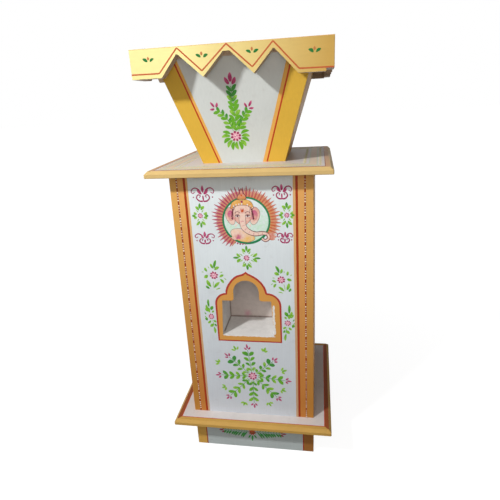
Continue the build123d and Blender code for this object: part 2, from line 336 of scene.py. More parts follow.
def bareBoard():
    material, recipe, place = newMaterial("bareBoard")
    enamel(recipe, boardGrain(recipe, place, "fibreboard"), place, roughness=0.75)
    return material


nicheLook = {
    "smudgeAt": (-0.020, -0.078, 0.432),
    "smudgeSize": 0.016,
    "jointWide": 0.0048,
    "cornerDarkness": 0.78,
    "depth": 0.0007,
}


def nichePaint():
    # thick matt white, dabbed on, with painted shade on the back wall, and a faint pink smudge low on it
    material, recipe, place = newMaterial("nichePaint")
    look = nicheLook
    dabs = recipe.noise(place, 70.0, 4.0, 0.6)
    away = recipe.vector("DISTANCE", place, look["smudgeAt"], out="Value")
    smudge = recipe.remap(wobbled(recipe, away, place, 0.006, 120.0), 0.0, look["smudgeSize"], 0.55, 0.0)
    isBack = recipe.split(surfaceNormal(recipe))[1] < -0.9
    # painted shade: the back wall takes a darker copy of the white
    base = recipe.mix(isBack, rgba("nicheWhite"), rgba("nicheShaded"))
    colour = recipe.mix(smudge, recipe.scaled(base, recipe.spread(dabs, 0.9, 1.05)), rgba("rose"))
    # dirt and painted shade along the inside corners; each wall is at 0 from itself, so the larger of two
    # distances leads to their joint
    x, y, z = recipe.split(place)
    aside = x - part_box("niche_cheek_left")[1].x
    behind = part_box("niche_back_board")[0].y - y
    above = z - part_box("niche_floor")[1].z
    joints = [recipe.calc("MAXIMUM", *pair) for pair in ((aside, behind), (behind, above), (above, aside))]
    nearest = recipe.calc("MINIMUM", joints[0], recipe.calc("MINIMUM", joints[1], joints[2]))
    uneven = wobbled(recipe, nearest, place, 0.0012, 90.0)
    cornerDirtAndShade = recipe.remap(uneven, 0.0005, look["jointWide"], look["cornerDarkness"], 0.0)
    coat(recipe, recipe.mix(cornerDirtAndShade, colour, rgba("sooty")), 0.62, dabs, look["depth"])
    return material


def galvanisedSheet():
    # zinc spangle on folded sheet
    material, recipe, place = newMaterial("galvanisedSheet")
    spangle = recipe.node("ShaderNodeTexVoronoi", {"Vector": place, "Scale": 90.0}, "Color")
    tone = recipe.split(spangle)[0]
    grey = recipe.remap(tone * 0.5 + recipe.noise(place, 14.0, 4.0), 0.3, 1.2, 0.42, 0.66)
    cool = recipe.join(grey, grey * 1.015, grey * 1.03)
    coat(recipe, cool, recipe.remap(tone, 0.0, 1.0, 0.32, 0.5), metallic=0.85)
    return material


def zincScrew():
    material, recipe, place = newMaterial("zincScrew")
    haze = recipe.noise(place, 300.0, 3.0)
    tone = recipe.mix(haze, (0.62, 0.58, 0.42, 1.0), (0.72, 0.70, 0.62, 1.0))
    coat(recipe, tone, recipe.spread(haze, 0.25, 0.45), metallic=0.9)
    return material


def brushPaint():
    # every painted stroke carries its two colours; the second one comes in towards the stroke's tip
    material, recipe, place = newMaterial("brushPaint")
    kind = "ShaderNodeAttribute"
    dark = recipe.node(kind, out="Color", attribute_name="paintDark")
    light = recipe.node(kind, out="Color", attribute_name="paintLight")
    blend = recipe.node(kind, out="Fac", attribute_name="blend")
    share = recipe.remap(blend + recipe.spread(recipe.noise(place, 160.0, 3.0), -0.35, 0.35), 0.05, 0.95)
    bristle = recipe.noise(place, 1100.0)
    gloss = recipe.spread(bristle, 0.4, 0.56)
    coat(recipe, recipe.mix(share, dark, light), gloss, bristle, 0.0001, specular=0.25)
    return material


# geometry trees for what the brush repeats
def newTree(name, inputs):
    tree = bpy.data.node_groups.new(name, "GeometryNodeTree")
    tree.interface.new_socket("Geometry", in_out="INPUT", socket_type="NodeSocketGeometry")
    kinds = {int: "Int", float: "Float", list: "Color", type(None): "Material"}
    for label, value in inputs.items():
        kind = "NodeSocket" + kinds[type(value)]
        socket = tree.interface.new_socket(label, in_out="INPUT", socket_type=kind)
        if value is not None:
            socket.default_value = value
    tree.interface.new_socket("Geometry", in_out="OUTPUT", socket_type="NodeSocketGeometry")
    recipe = Recipe(tree)
    inlet = {socket.name: Wire(recipe, socket) for socket in recipe.make("NodeGroupInput").outputs}
    return tree, recipe, inlet


def finishTree(recipe, geometry, material):
    real = recipe.node("GeometryNodeRealizeInstances", {0: geometry})
    coated = recipe.node("GeometryNodeSetMaterial", {"Geometry": real, "Material": material})
    recipe.make("NodeGroupOutput", {0: coated})


def brushStrokeTree():
    # one tapering stroke on each point, shaped by the point's turn, long, wide, belly and bend
    tree, recipe, inlet = newTree("brushStrokes", {
        "Sides": 14, "Thickness": 0.0002, "Crown": 0.6, "Fullness": 0.62, "Ragged": 0.05, "Material": None})
    here = recipe.node("GeometryNodeInputPosition")
    points = recipe.stored(inlet["Geometry"], "base", here, "FLOAT_VECTOR")
    cylinder = {"Vertices": inlet["Sides"], "Radius": 1.0, "Depth": 2.0}
    stamp = recipe.node("GeometryNodeMeshCylinder", cylinder, fill_type="TRIANGLE_FAN")
    stamp = recipe.stored(stamp, "spot", here, "FLOAT_VECTOR")
    placed = recipe.node("GeometryNodeInstanceOnPoints", {"Points": points, "Instance": stamp})
    real = recipe.node("GeometryNodeRealizeInstances", {0: placed})
    spot = recipe.attribute("spot", "FLOAT_VECTOR")
    base = recipe.attribute("base", "FLOAT_VECTOR")
    long = recipe.attribute("long")
    spotX, spotY, spotZ = recipe.split(spot)
    share = spotX * 0.5 + 0.5
    swell = recipe.calc("SINE", share ** recipe.attribute("belly") * math.pi)
    half = recipe.calc("MAXIMUM", swell, 0.0) ** inlet["Fullness"] * recipe.attribute("wide") * 0.5
    bow = recipe.attribute("bend") * long * (share * 4.0 * (1.0 - share))
    rough = recipe.noise(recipe.vector("ADD", recipe.scaled(base, 900.0), recipe.scaled(spot, 1.3)), 1.0)
    rough = (rough - 0.5) * (half * (inlet["Ragged"] * 10.0))
    y = recipe.calc("SIGN", spotY) * half + (bow + rough)
    inner = 1.0 - recipe.calc("MINIMUM", 1.0, abs(spotX) + abs(spotY))
    z = spotZ * inlet["Thickness"] * (inner * inlet["Crown"] + 1.0)
    shape = {"Vector": recipe.join(share * long, y, z), "Angle": recipe.attribute("turn")}
    turned = recipe.node("ShaderNodeVectorRotate", shape, rotation_type="Z_AXIS")
    laid = recipe.moved(real, recipe.vector("ADD", base, turned))
    finishTree(recipe, recipe.stored(laid, "blend", share), inlet["Material"])
    return tree


def paintedLineTree():
    # a low ridge of paint along edges, as wide as each point says, and a little unsteady
    tree, recipe, inlet = newTree("paintedLines", {
        "Sides": 6, "Ridge": 0.0002, "Wobble": 0.0004, "Wobble scale": 30.0, "Material": None})
    here = recipe.node("GeometryNodeInputPosition")
    curve = recipe.node("GeometryNodeMeshToCurve", {"Mesh": inlet["Geometry"]})
    shifted = [recipe.vector("ADD", here, (shift, 0, 0)) for shift in (0, 7)]
    shakes = [(recipe.noise(spot, inlet["Wobble scale"]) - 0.5) * inlet["Wobble"] for spot in shifted]
    offset = recipe.join(*shakes, 0.0)
    curve = recipe.node("GeometryNodeSetPosition", {"Geometry": curve, "Offset": offset})
    curve = recipe.node("GeometryNodeSetCurveNormal", {"Curve": curve}, mode="Z_UP")
    halfWide = recipe.attribute("wide") * 0.5
    profile = recipe.node("GeometryNodeCurvePrimitiveCircle", {"Resolution": inlet["Sides"], "Radius": 1.0})
    swept = recipe.node("GeometryNodeCurveToMesh", {
        "Curve": curve, "Profile Curve": profile, "Scale": halfWide, "Fill Caps": True})
    x, y, z = recipe.split(here)
    height = z / halfWide * inlet["Ridge"] + recipe.attribute("level")
    finishTree(recipe, recipe.moved(swept, recipe.join(x, y, height)), inlet["Material"])
    return tree


def dottedLineTree():
    # dabs along edges, in groups with one left out between them
    tree, recipe, inlet = newTree("dottedLines", {
        "Gap": 0.0072, "Group": 5, "Dot": 0.0018, "Thickness": 0.00035, "Seed": 3, "Material": None})
    curve = recipe.node("GeometryNodeMeshToCurve", {"Mesh": inlet["Geometry"]})
    gaps = {"Curve": curve, "Length": inlet["Gap"]}
    points = recipe.node("GeometryNodeCurveToPoints", gaps, mode="LENGTH")
    pauses = {"Geometry": points, "Selection": recipe.node("GeometryNodeInputIndex") % inlet["Group"] < 0.5}
    kept = recipe.node("GeometryNodeDeleteGeometry", pauses, domain="POINT")
    dab = recipe.node("GeometryNodeMeshUVSphere", {"Segments": 6, "Rings": 4, "Radius": 1.0})
    # sockets 2 and 3 of Random Value are its number limits, 8 is its seed, and output 1 is the number
    across = recipe.node("FunctionNodeRandomValue", {2: 0.7, 3: 1.2, 8: inlet["Seed"]}, 1) * inlet["Dot"]
    scale = recipe.join(across, across * 1.25, inlet["Thickness"])
    placed = recipe.node("GeometryNodeInstanceOnPoints", {"Points": kept, "Instance": dab, "Scale": scale})
    finishTree(recipe, placed, inlet["Material"])
    return tree


def sunRayTree():
    # strokes round a circle, every second one shorter and paler, from one colour on the left to another
    tree, recipe, inlet = newTree("sunRays", {
        "Count": 84, "Radius": 0.066, "Start": -0.52, "Sweep": 4.75, "Shortest": 0.024, "Longest": 0.033,
        "Wide": 0.0066, "Level": 0.0001, "Seed": 5, "Left colour": rgba("rayCrimson"),
        "Right colour": rgba("rayOrange"), "Material": None})
    index = recipe.node("GeometryNodeInputIndex")
    isShort = index % 2.0
    angle = index / inlet["Count"] * inlet["Sweep"] + inlet["Start"]
    x, y = (recipe.calc(operation, angle) * inlet["Radius"] for operation in ("COSINE", "SINE"))
    spot = recipe.join(x, y, inlet["Level"])
    points = recipe.node("GeometryNodePoints", {"Count": inlet["Count"], "Position": spot})
    limits = {2: inlet["Shortest"], 3: inlet["Longest"], 8: inlet["Seed"]}
    long = recipe.node("FunctionNodeRandomValue", limits, 1) * (isShort * -0.3 + 1.0)
    rightness = recipe.remap(recipe.calc("COSINE", angle + 0.3), -0.5, 0.6)
    colour = recipe.mix(rightness, inlet["Left colour"], inlet["Right colour"])
    dark = recipe.mix(isShort * 0.5, colour, rgba("peach"))
    light = recipe.mix(0.18, dark, rgba("slabWhite"))
    numbers = {"turn": angle, "long": long, "wide": inlet["Wide"], "belly": 0.42, "bend": 0.0}
    for name, value in numbers.items():
        points = recipe.stored(points, name, value)
    for name, value in {"paintDark": dark, "paintLight": light}.items():
        points = recipe.stored(points, name, value, "FLOAT_COLOR")
    strokes = recipe.node("GeometryNodeGroup", {"Geometry": points}, node_tree=strokeTree)
    finishTree(recipe, strokes, inlet["Material"])
    return tree


paintMaterial = brushPaint()
strokeTree = brushStrokeTree()
lineTree = paintedLineTree()
dotTree = dottedLineTree()
rayTree = sunRayTree()


def addObject(name, data):
    made = bpy.data.objects.new(name, data)
    bpy.context.scene.collection.objects.link(made)
    return made


def runTree(tree, mesh, values=None):
    # evaluates a tree on a mesh and returns the result as a plain mesh
    values = {"Material": paintMaterial} | (values or {})
    holder = addObject("holder", mesh)
    modifier = holder.modifiers.new("tree", "NODES")
    modifier.node_group = tree
    for item in tree.interface.items_tree:
        if item.in_out == "INPUT" and item.name in values:
            modifier[item.identifier] = values[item.name]
    graph = bpy.context.evaluated_depsgraph_get()
    made = bpy.data.meshes.new_from_object(holder.evaluated_get(graph))
    holder.modifiers.remove(modifier)
    bpy.data.objects.remove(holder)
    return made


# outlines, in millimetres on a face
def unit(degrees):
    return Vector((math.cos(math.radians(degrees)), math.sin(math.radians(degrees))))


def off(at, heading, far):
    return Vector(at) + unit(heading) * far


def smoothPath(points, step=3.0, closed=False):
    # an even curve through the points
    points = [Vector(p) for p in points]
    last = len(points) - 1
    path = []
    for k in range(last + closed):
        if closed:
            a, b, c, d = (points[(k + i) % (last + 1)] for i in (-1, 0, 1, 2))
        else:
            a, b, c, d = (points[min(max(k + i, 0), last)] for i in (-1, 0, 1, 2))
        pieces = max(1, round((c - b).length / step))
        for j in range(pieces):
            t = j / pieces
            path.append(0.5 * (2 * b + (c - a) * t + (2 * a - 5 * b + 4 * c - d) * t * t
                               + (3 * b - a - 3 * c + d) * t ** 3))
    return path if closed else [*path, points[-1]]


def arc(centre, radius, start, end, count):
    return [off(centre, start + (end - start) * k / count, radius) for k in range(count + 1)]


def steadyLine(start, end, step):
    start, end = Vector(start), Vector(end)
    count = max(1, round((end - start).length / step))
    return [start.lerp(end, k / count) for k in range(count + 1)]


def softCorners(points, radius):
    # replaces each corner by three points, so that a broad line turns without thinning
    points = [Vector(p) for p in points]
    path = [points[0]]
    for before, point, after in zip(points, points[1:], points[2:]):
        before = (before - point).normalized() * radius
        after = (after - point).normalized() * radius
        path += [point + before, point + 0.25 * (before + after), point + after]
    return [*path, points[-1]]


def pathPlace(path, share):
    # point and heading, in degrees, at a share of a path's length
    left = share * sum((b - a).length for a, b in zip(path, path[1:]))
    for a, b in zip(path, path[1:]):
        way = b - a
        if left <= way.length:
            break
        left -= way.length
    return a + way * min(1.0, left / way.length), math.degrees(math.atan2(way.y, way.x))


strays = {
    # how far a stroke is from what was meant: millimetres, degrees, and then shares of its size
    "place": 0.4,
    "turn": 4.0,
    "long": 0.08,
    "wide": 0.1,
    "bend": 0.02,
}


class Painting:
    # what is painted on one kind of face, in millimetres across and up that face
    def __init__(self, seed=0):
        self.hand = random.Random(seed)
        self.strokes = []
        self.lines = []
        self.dots = []
        self.patches = []
        self.rays = []

    def stray(self, what):
        return self.hand.uniform(-strays[what], strays[what])

    def stroke(self, at, turn, long, wide, paint="leaf", tip=None, belly=0.9, bend=0.0, level=0.05):
        self.strokes.append({
            "at": (at[0] + self.stray("place"), at[1] + self.stray("place"), level),
            "turn": math.radians(turn + self.stray("turn")),
            "long": long * (1 + self.stray("long")) * mm,
            "wide": wide * (1 + self.stray("wide")) * mm,
            "bend": bend + self.stray("bend"),
            "belly": belly, "dark": paint, "light": tip or paint})

    def line(self, path, wide, paint="red", tip=None, closed=False, taper=1.0, level=0.05, isDotted=False):
        # a swept line starts at height 0, because its tree adds the level
        row = self.dots if isDotted else self.lines
        row.append({"path": path, "wide": wide, "dark": paint, "light": tip or paint, "closed": closed,
                    "taper": taper, "level": level, "height": level if isDotted else 0.0})

    def patch(self, loops, paint, tip=None, level=0.1):
        self.patches.append({"loops": loops, "dark": paint, "light": tip or paint, "level": level})

    def disc(self, at, radius, paint, tip=None, level=0.1):
        self.patch([arc(at, radius, 0, 360, 24)[:-1]], paint, tip, level)


def paintMesh(points, edges, faces, numbers, darks, lights):
    # a mesh whose points carry numbers and the two colours of their paint
    mesh = bpy.data.meshes.new("paint")
    mesh.from_pydata(points, edges, faces)
    for label, values in numbers.items():
        mesh.attributes.new(label, "FLOAT", "POINT").data.foreach_set("value", values)
    for label, names in (("paintDark", darks), ("paintLight", lights)):
        channels = [channel for name in names for channel in rgba(name)]
        mesh.attributes.new(label, "FLOAT_COLOR", "POINT").data.foreach_set("color", channels)
    return mesh


def strokeMesh(strokes):
    def each(name):
        return [stroke[name] for stroke in strokes]

    points = [Vector(at) * mm for at in each("at")]
    numbers = {name: each(name) for name in ("turn", "long", "wide", "belly", "bend")}
    return paintMesh(points, [], [], numbers, each("dark"), each("light"))


def lineMesh(lines):
    points, edges, wides, levels, darks, lights = [], [], [], [], [], []
    for line in lines:
        first, count = len(points), len(line["path"])
        for k, point in enumerate(line["path"]):
            points.append((point[0] * mm, point[1] * mm, line["height"] * mm))
            wides.append(line["wide"] * (1 - (1 - line["taper"]) * k / (count - 1)) * mm)
        levels += [line["level"] * mm] * count
        darks += [line["dark"]] * count
        lights += [line["light"]] * count
        edges += [(first + k, first + k + 1) for k in range(count - 1)]
        if line["closed"]:
            edges.append((first + count - 1, first))
    return paintMesh(points, edges, [], {"wide": wides, "level": levels}, darks, lights)


def patchMesh(patch):
    # a closed slip of paint with the given outline; further loops are holes in it
    loops = []
    for k, loop in enumerate(patch["loops"]):
        area = sum(a[0] * b[1] - b[0] * a[1] for a, b in zip(loop, loop[1:] + loop[:1]))
        loops.append([Vector((*p, 0.0)) for p in (loop if (area > 0) == (k == 0) else loop[::-1])])
    flat = [p * mm for loop in loops for p in loop]
    count = len(flat)
    faces = []
    for a, b, c in tessellate_polygon(loops):
        if (flat[b] - flat[a]).cross(flat[c] - flat[a]).z < 0:
            b, c = c, b
        faces += [(a + count, b + count, c + count), (c, b, a)]
    first = 0
    for loop in loops:
        for k in range(len(loop)):
            a, b = first + k, first + (k + 1) % len(loop)
            faces.append((a, b, b + count, a + count))
        first += len(loop)
    points = [p + Vector((0, 0, z)) for z in (-0.05 * mm, patch["level"] * mm) for p in flat]
    low, high = min(p.y for p in flat), max(p.y for p in flat)
    blend = [(p.y - low) / (high - low) for p in points]
    colours = ([patch[name]] * len(points) for name in ("dark", "light"))
    mesh = paintMesh(points, [], faces, {"blend": blend}, *colours)
    mesh.materials.append(paintMaterial)
    return mesh


def paintedMeshes(painting):
    meshes = []
    if painting.strokes:
        meshes.append(runTree(strokeTree, strokeMesh(painting.strokes)))
    if painting.lines:
        meshes.append(runTree(lineTree, lineMesh(painting.lines)))
    if painting.dots:
        meshes.append(runTree(dotTree, lineMesh(painting.dots)))
    for at, values in painting.rays:
        mesh = runTree(rayTree, bpy.data.meshes.new("rays"), values)
        mesh.transform(Matrix.Translation((at[0] * mm, at[1] * mm, 0.0)))
        meshes.append(mesh)
    return meshes + [patchMesh(patch) for patch in painting.patches]


def uprightFaces(names, distance, height=0.0, lean=0.0):
    # where a painting's across, up and outwards lie on upright or leaning faces
    place = Matrix.Translation((0.0, -distance, height)) @ Matrix.Rotation(math.radians(90) + lean, 4, "X")
    return [Matrix.Rotation(math.radians(sides[name]), 4, "Z") @ place for name in names]


def slabTop(name):
    place = Matrix.Translation((0.0, 0.0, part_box(name + "_slab")[1].z))
    return [Matrix.Rotation(math.radians(turn), 4, "Z") @ place for turn in sides.values()]


def layPaintings(name, body, layers):
    # layers pairs paintings with the faces that carry them; all become one piece
    objects = []
    for painting, faces in layers:
        for mesh in paintedMeshes(painting):
            for face in faces:
                copy = mesh.copy()
                copy.transform(face)
                objects.append(addObject(name, copy))
            bpy.data.meshes.remove(mesh)
    whole = objects[0]
    with bpy.context.temp_override(active_object=whole, selected_editable_objects=objects):
        bpy.ops.object.join()
    whole.name = name
    mesh = whole.data
    kept = ("paintDark", "paintLight", "blend")
    loose = [a.name for a in mesh.attributes if not (a.name in kept or a.is_internal or a.is_required)]
    for label in loose:
        mesh.attributes.remove(mesh.attributes[label])
    count = len(mesh.polygons)
    mesh.polygons.foreach_set("use_smooth", [False] * count)
    mesh.polygons.foreach_set("material_index", [0] * count)
    mesh.materials.clear()
    mesh.materials.append(paintMaterial)
    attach(whole, body)
    print(name, count, "faces")


# motifs that the paintings share
def leafPair(painting, at, heading, long, wide, spread=42, paint="leaf", tip="leafLight", belly=1.2, gap=1.3):
    for side in (-1, 1):
        start = off(at, heading + side * 90, gap)
        painting.stroke(start, heading + side * spread, long, wide, paint, tip, belly, side * -0.07)


def bud(painting, at, heading, long, paint="crimson", middle="rose", spread=42):
    # three parted petals
    painting.stroke(off(at, heading, long * 0.26), heading, long, long * 0.4, paint, middle)
    for side in (-1, 1):
        start = off(at, heading + side * 75, long * 0.17)
        turn = heading + side * spread
        painting.stroke(start, turn, long * 0.8, long * 0.38, paint, middle, bend=side * 0.05)


def daisy(painting, at, radius):
    # a pink disc with dark dabs around its rim and four small ones in the middle
    painting.disc(at, radius * 0.86, "pink", level=0.12)
    for turn in range(12, 372, 45):
        start = off(at, turn, radius * 0.5)
        painting.stroke(start, turn, radius * 0.55, radius * 0.42, "crimson", belly=1.1, level=0.16)
    for k, paint in enumerate(("crimson", "brushWhite") * 2):
        painting.disc(off(at, 90 * k + 20, radius * 0.2), radius * 0.1, paint, level=0.22)


def floral(painting, at, halfWide, halfHigh, radius):
    # a daisy, a three-leaved sprig on each side of it, and thin strokes between the sprigs
    daisy(painting, at, radius)
    for turn, reach in ((0, halfWide), (90, halfHigh), (180, halfWide), (270, halfHigh)):
        painting.stroke(off(at, turn, reach * 0.56), turn, reach * 0.46, 6.6, "leaf", "leafDark", 1.0)
        leafPair(painting, off(at, turn, reach * 0.44), turn, reach * 0.44, 7.6, gap=2.6)
    for turn in (45, 135, 225, 315):
        for lean, paint in ((-17, "leafLight"), (17, "leaf")):
            start = off(at, turn + lean, radius * 1.5)
            painting.stroke(start, turn + lean * 0.6, radius * 1.3, 3.0, paint, "leafPale")


bouquets = {
    # leaves as start, tip, width and paint, in millimetres from the middle of the flower
    "spray": [
        ((1.6, 22.4), (7.1, 46.5), 5.8, "leafDark"), ((3.2, 16.4), (17.5, 25.9), 7.4, "leaf"),
        ((-0.8, 20.7), (-8.7, 36.2), 5.8, "leaf"), ((-19.8, 11.2), (-24.6, 24.1), 5.4, "leaf"),
        ((-18.3, 0.9), (-30.2, -7.8), 7.4, "leaf"), ((-28.6, 9.5), (-35, 12), 2.0, "leafPale"),
        ((-12, 20.7), (-15, 26.7), 2.0, "leafPale"), ((-11.1, -36), (-20.6, -13), 7.2, "leaf"),
        ((-2.4, -39), (13.2, -20.7), 6.6, "leaf"), ((-15.9, -42.2), (-25.5, -32.8), 5.2, "leafDark"),
        ((1.6, -44.8), (15.9, -38.8), 3.0, "leafPale"), ((15.9, -6), (29.4, 1.7), 5.4, "leafLight"),
        ((17.5, -11.2), (27, -23.3), 5.4, "leaf"), ((27, -7.8), (34.1, -13.3), 2.0, "leafPale"),
        ((17.5, 7.8), (25.5, 11.2), 2.0, "leafPale"), ((-4, -42), (-3, -16.4), 1.6, "leafPale"),
    ],
    "tall": [
        ((-4.1, 30.9), (-5.7, 56.5), 5.0, "leafDark"), ((-7.4, 21.8), (-13.1, 38.2), 5.4, "leaf"),
        ((-8.2, 16.4), (-16.2, 27.3), 5.4, "leaf"), ((0.8, 21.8), (8.4, 34.6), 6.8, "leafDark"),
        ((-4.1, 12.7), (-4.9, 28.3), 6.2, "leafLight"), ((4.1, 12.7), (8.9, 20.1), 4.2, "leafLight"),
        ((-14.8, 6.4), (-18.9, 13.6), 2.6, "leafDark"), ((-15.1, -3.6), (-19.7, 0.4), 2.6, "leafPale"),
        ((-12.6, -13.7), (-17.0, -3.5), 6.6, "leafDark"), ((-2.5, -13.6), (-11.2, -22.6), 5.2, "leaf"),
        ((4.9, -12.7), (14.1, -19.6), 5.2, "leaf"), ((4.1, -23.6), (-5.1, -35.5), 6.6, "leaf"),
        ((8.2, -23.6), (13.2, -32.3), 4.8, "leafDark"), ((1, -10), (5, -34), 1.6, "leafPale"),
        ((5.7, -35), (8.2, -58.3), 5.0, "leaf"),
    ],
}


def bouquet(painting, kind, at, radius, flip=1, turn=0.0, size=1.0):
    daisy(painting, at, radius)
    for start, tip, wide, paint in bouquets[kind]:
        start, tip = (Vector((p[0] * flip, p[1])) * size for p in (start, tip))
        way = tip - start
        start.rotate(Matrix.Rotation(math.radians(turn), 2))
        heading = math.degrees(math.atan2(way.y, way.x)) + turn
        painting.stroke(Vector(at) + start, heading, way.length, wide * 1.35 * size, paint,
                        "leafLight" if paint == "leaf" else "leaf", 1.1, flip * 0.05)


curls = {
    # as shares of a flourish's width and height
    "lower": [(0.02, -0.44), (0.16, -0.42), (0.27, -0.24), (0.2, -0.06), (0.1, -0.12), (0.15, -0.22)],
    "upper": [(0.07, 0.0), (0.17, 0.26), (0.34, 0.34), (0.47, 0.18), (0.42, 0.02), (0.33, 0.1)],
}


def scroll(painting, at, wide, high):
    # a crimson flourish: a parted bud between two pairs of curling lines
    def spot(x, y):
        return Vector(at) + Vector((x * wide, y * high))

    for side in (-1, 1):
        for curl, thick, tip, level in (("lower", 4.4, None, 0.06), ("upper", 4.0, "rose", 0.1)):
            path = smoothPath([spot(side * x, y) for x, y in curls[curl]], 2.5)
            painting.line(path, thick, "crimson", tip, taper=0.5, level=level)
        painting.disc(spot(side * 0.4, -0.2), 1.9, "crimson")
    bud(painting, spot(0, -0.04), 90, high * 0.44)
    painting.stroke(spot(0, -0.1), -90, high * 0.36, 4.2, "crimson", "rose", 0.7)


# column
column = {
    "half": -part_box("column_left_panel")[0].x / mm,
    "bottom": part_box("column_front_panel")[0].z / mm,
    "top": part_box("column_front_panel")[1].z / mm,
    "maroonAt": (20.0, 22.0),       # from the left and the right edge
    "redAt": (41.0, 43.5),
    "maroonWide": 4.0,
    "redWide": 6.4,
    "florals": [((-113.3, 788), 23, 34, 7), ((121, 787.5), 21, 34, 7), ((7.7, 666.5), 37, 35, 8.5)],
    "bouquets": [("spray", (-89.6, 612.6), 12), ("spray", (101.6, 602.2), 11, -1, 9, 0.92),
                 ("tall", (-108.1, 480.4), 9), ("tall", (117.4, 466.3), 9, -1)],
    "scrolls": [((-101.5, 848), 66, 46), ((109.5, 850), 54, 42),
                ((-106.0, 724), 58, 36), ((115.0, 726), 44, 34)],
}
niche = {
    "half": 77.0,
    "sill": 420.0,
    "bandFoot": 402.0,
    "rightLobe": ((59.4, 519.0), 37.2),     # middle and radius
    "rightHead": [
        (57, 558), (55, 567), (51.5, 577), (43.3, 590), (34, 599.5), (24, 607), (13, 613), (6.5, 616)],
    "tip": (1.5, 621.0),
    "leftHead": [
        (-5.5, 614.5), (-22, 609.5), (-30.5, 604), (-38, 596.5), (-47.5, 583.5), (-53, 573), (-56, 563)],
    "leftLobe": ((-56.8, 522.0), 32.5),
    "outline": 5.8,
}
mandala = {
    "at": (6.0, 278.0),
    "arms": [(97, 101), (41, 94), (-6, 108), (-45, 112), (-90, 109), (-134, 116), (-179, 106), (137, 103)],
    "usualArm": 106,
    "pairs": [(21, 16, 8.6), (39, 18, 9.4), (57, 20, 10.2), (76, 21, 11.2)],    # place, length and width
    "sprigs": [(117, 108), (67, 102), (14, 98), (-27, 104), (-64, 112), (-107, 110), (-153, 104), (157, 116)],
    "hub": 13.5,
}
medallion = {
    "at": (12.0, 773.0),
    "radius": 62.5,
    "ring": 6.4,
    "faceAt": (3.0, 773.0),
}


def columnBandLines():
    painting = Painting()
    low, high = column["bottom"] + 0.5, column["top"] - 0.5
    for side, maroonAt, redAt in zip((-1, 1), column["maroonAt"], column["redAt"]):
        maroonX, redX = (side * (column["half"] - inset) for inset in (maroonAt, redAt))
        painting.line(steadyLine((maroonX, low), (maroonX, high), 8), column["maroonWide"], "maroon")
        painting.line(steadyLine((redX, low), (redX, high), 8), column["redWide"], "columnRed")
        painting.line(steadyLine((maroonX, low + 3), (maroonX, high - 3), 30), 1.0, "dabCream", level=0.2,
                      isDotted=True)
    return painting


def mandalaPainting(painting):
    # a wheel of eight leafy arms round a daisy, with a sprig between each two
    middle = mandala["at"]
    for heading, reach in mandala["arms"]:
        scale = reach / mandala["usualArm"]
        isUpper = 20 < heading < 160
        stem = steadyLine(off(middle, heading, 16), off(middle, heading, reach - 8), 12)
        painting.line(stem, 1.5, "leafDark", level=0.04)
        for far, long, wide in mandala["pairs"]:
            isBroad = isUpper and far == mandala["pairs"][-1][0]
            paint = "leafDark" if isBroad else "leaf"
            tip = painting.hand.choice(("leaf", "leafLight", "leafDark"))
            spread, gap = (48, 2.0) if isUpper else (42, 1.0)
            start = off(middle, heading, far * scale)
            wide += 2.0 * isBroad
            leafPair(painting, start, heading, long * scale, wide, spread, paint, tip, gap=gap)
        bud(painting, off(middle, heading, reach - 7), heading, 14.5)
    for heading, reach in mandala["sprigs"]:
        start = off(middle, heading, reach - 8)
        for turn, long, paint in ((-48, 12, "leafLight"), (0, 15, "leaf"), (46, 13, "leafLight")):
            turn += heading
            painting.stroke(off(start, turn, 2.8), turn, long, 6.6, paint, "leafLight", 1.0)
    for k in range(16):
        turn = 22.5 * k + 11
        long, paint = (17, "leafLight") if k % 2 else (12, "leaf")
        painting.stroke(off(middle, turn, 16), turn, long, 2.8, paint, "leafPale")
    daisy(painting, middle, mandala["hub"])


def nicheBand(painting):
    # gold band around the opening, with an ogee head and a red edge line
    right = arc(*niche["rightLobe"], 0, 90, 9)
    left = arc(*niche["leftLobe"], 90, 180, 9)
    head = [Vector(p) for p in (*niche["rightHead"], niche["tip"], *niche["leftHead"])]
    feet = [Vector((lobe.x, niche["bandFoot"])) for lobe in (right[0], left[-1])]
    outer = [feet[0], *right, *head, *left, feet[1]]
    opening = [Vector((niche["half"], niche["sill"])), Vector((71, 534))]
    opening += arc((45, 542), 8, -90, -180, 3) + arc((0, 561), 37, 0, 90, 9)
    inner = opening + [Vector((-p.x, p.y)) for p in opening[-2::-1]]
    painting.patch([outer, inner], "bandOchre", level=0.12)
    edge = [p + Vector((math.copysign(0.8, p.x), 1.0 if p.y > niche["sill"] else -0.6)) for p in outer]
    painting.line(edge, niche["outline"], "nicheRed", "red", closed=True, level=0.14)
    # white strokes along the lower and right-hand edges of the opening: paint strayed from inside, and a
    # painted highlight where the sawn edge and the right-hand cheek catch the light
    chance = painting.hand.uniform
    for k in range(30):
        at = (5 * k - niche["half"], niche["sill"] + chance(-1.4, -0.4))
        painting.stroke(at, chance(-4, 4), 13, chance(2, 4), "brushWhite", belly=1.0, level=0.16)
    for k in range(9):
        at = (78.9 - 0.15 * k, niche["sill"] + 6 + 10 * k)
        painting.stroke(at, 92, 16, chance(6.2, 7.2), "brushWhite", belly=1.0, level=0.16)


